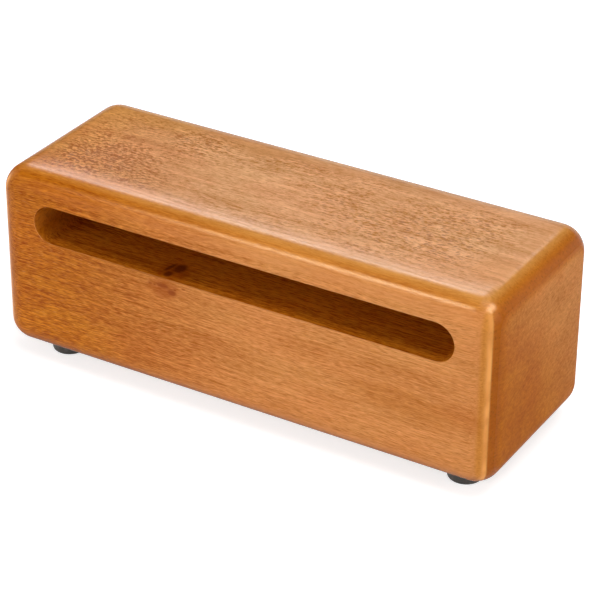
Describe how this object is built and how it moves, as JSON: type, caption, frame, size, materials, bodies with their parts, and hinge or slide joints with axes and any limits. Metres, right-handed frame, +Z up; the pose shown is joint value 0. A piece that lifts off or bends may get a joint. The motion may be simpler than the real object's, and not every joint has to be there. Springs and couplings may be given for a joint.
{
  "type": "woodblock",
  "caption": "Percussion woodblock: a hollow-slotted hardwood block with rounded edges, standing on small screwed-on rubber feet.",
  "frame": {"origin": "on the floor plane that the feet stand on, under the middle of the block", "axes": "+X along the block to its right end as seen from the slotted face, -Y out of the slotted front face, +Z up to the struck top"},
  "size_m": [0.203, 0.075, 0.077],
  "materials": {
    "block_wood": "gloss",
    "foot_rubber": "satin",
    "washer_steel": "satin",
    "screw_steel": "satin"
  },
  "bodies": {
    "root": {"block": "block_wood", "foot_front_left": "foot_rubber", "foot_front_right": "foot_rubber", "foot_rear_left": "foot_rubber", "foot_rear_right": "foot_rubber", "washer_front_left": "washer_steel", "washer_front_right": "washer_steel", "washer_rear_left": "washer_steel", "washer_rear_right": "washer_steel", "screw_front_left": "screw_steel", "screw_front_right": "screw_steel", "screw_rear_left": "screw_steel", "screw_rear_right": "screw_steel"}
  },
  "joints": []
}
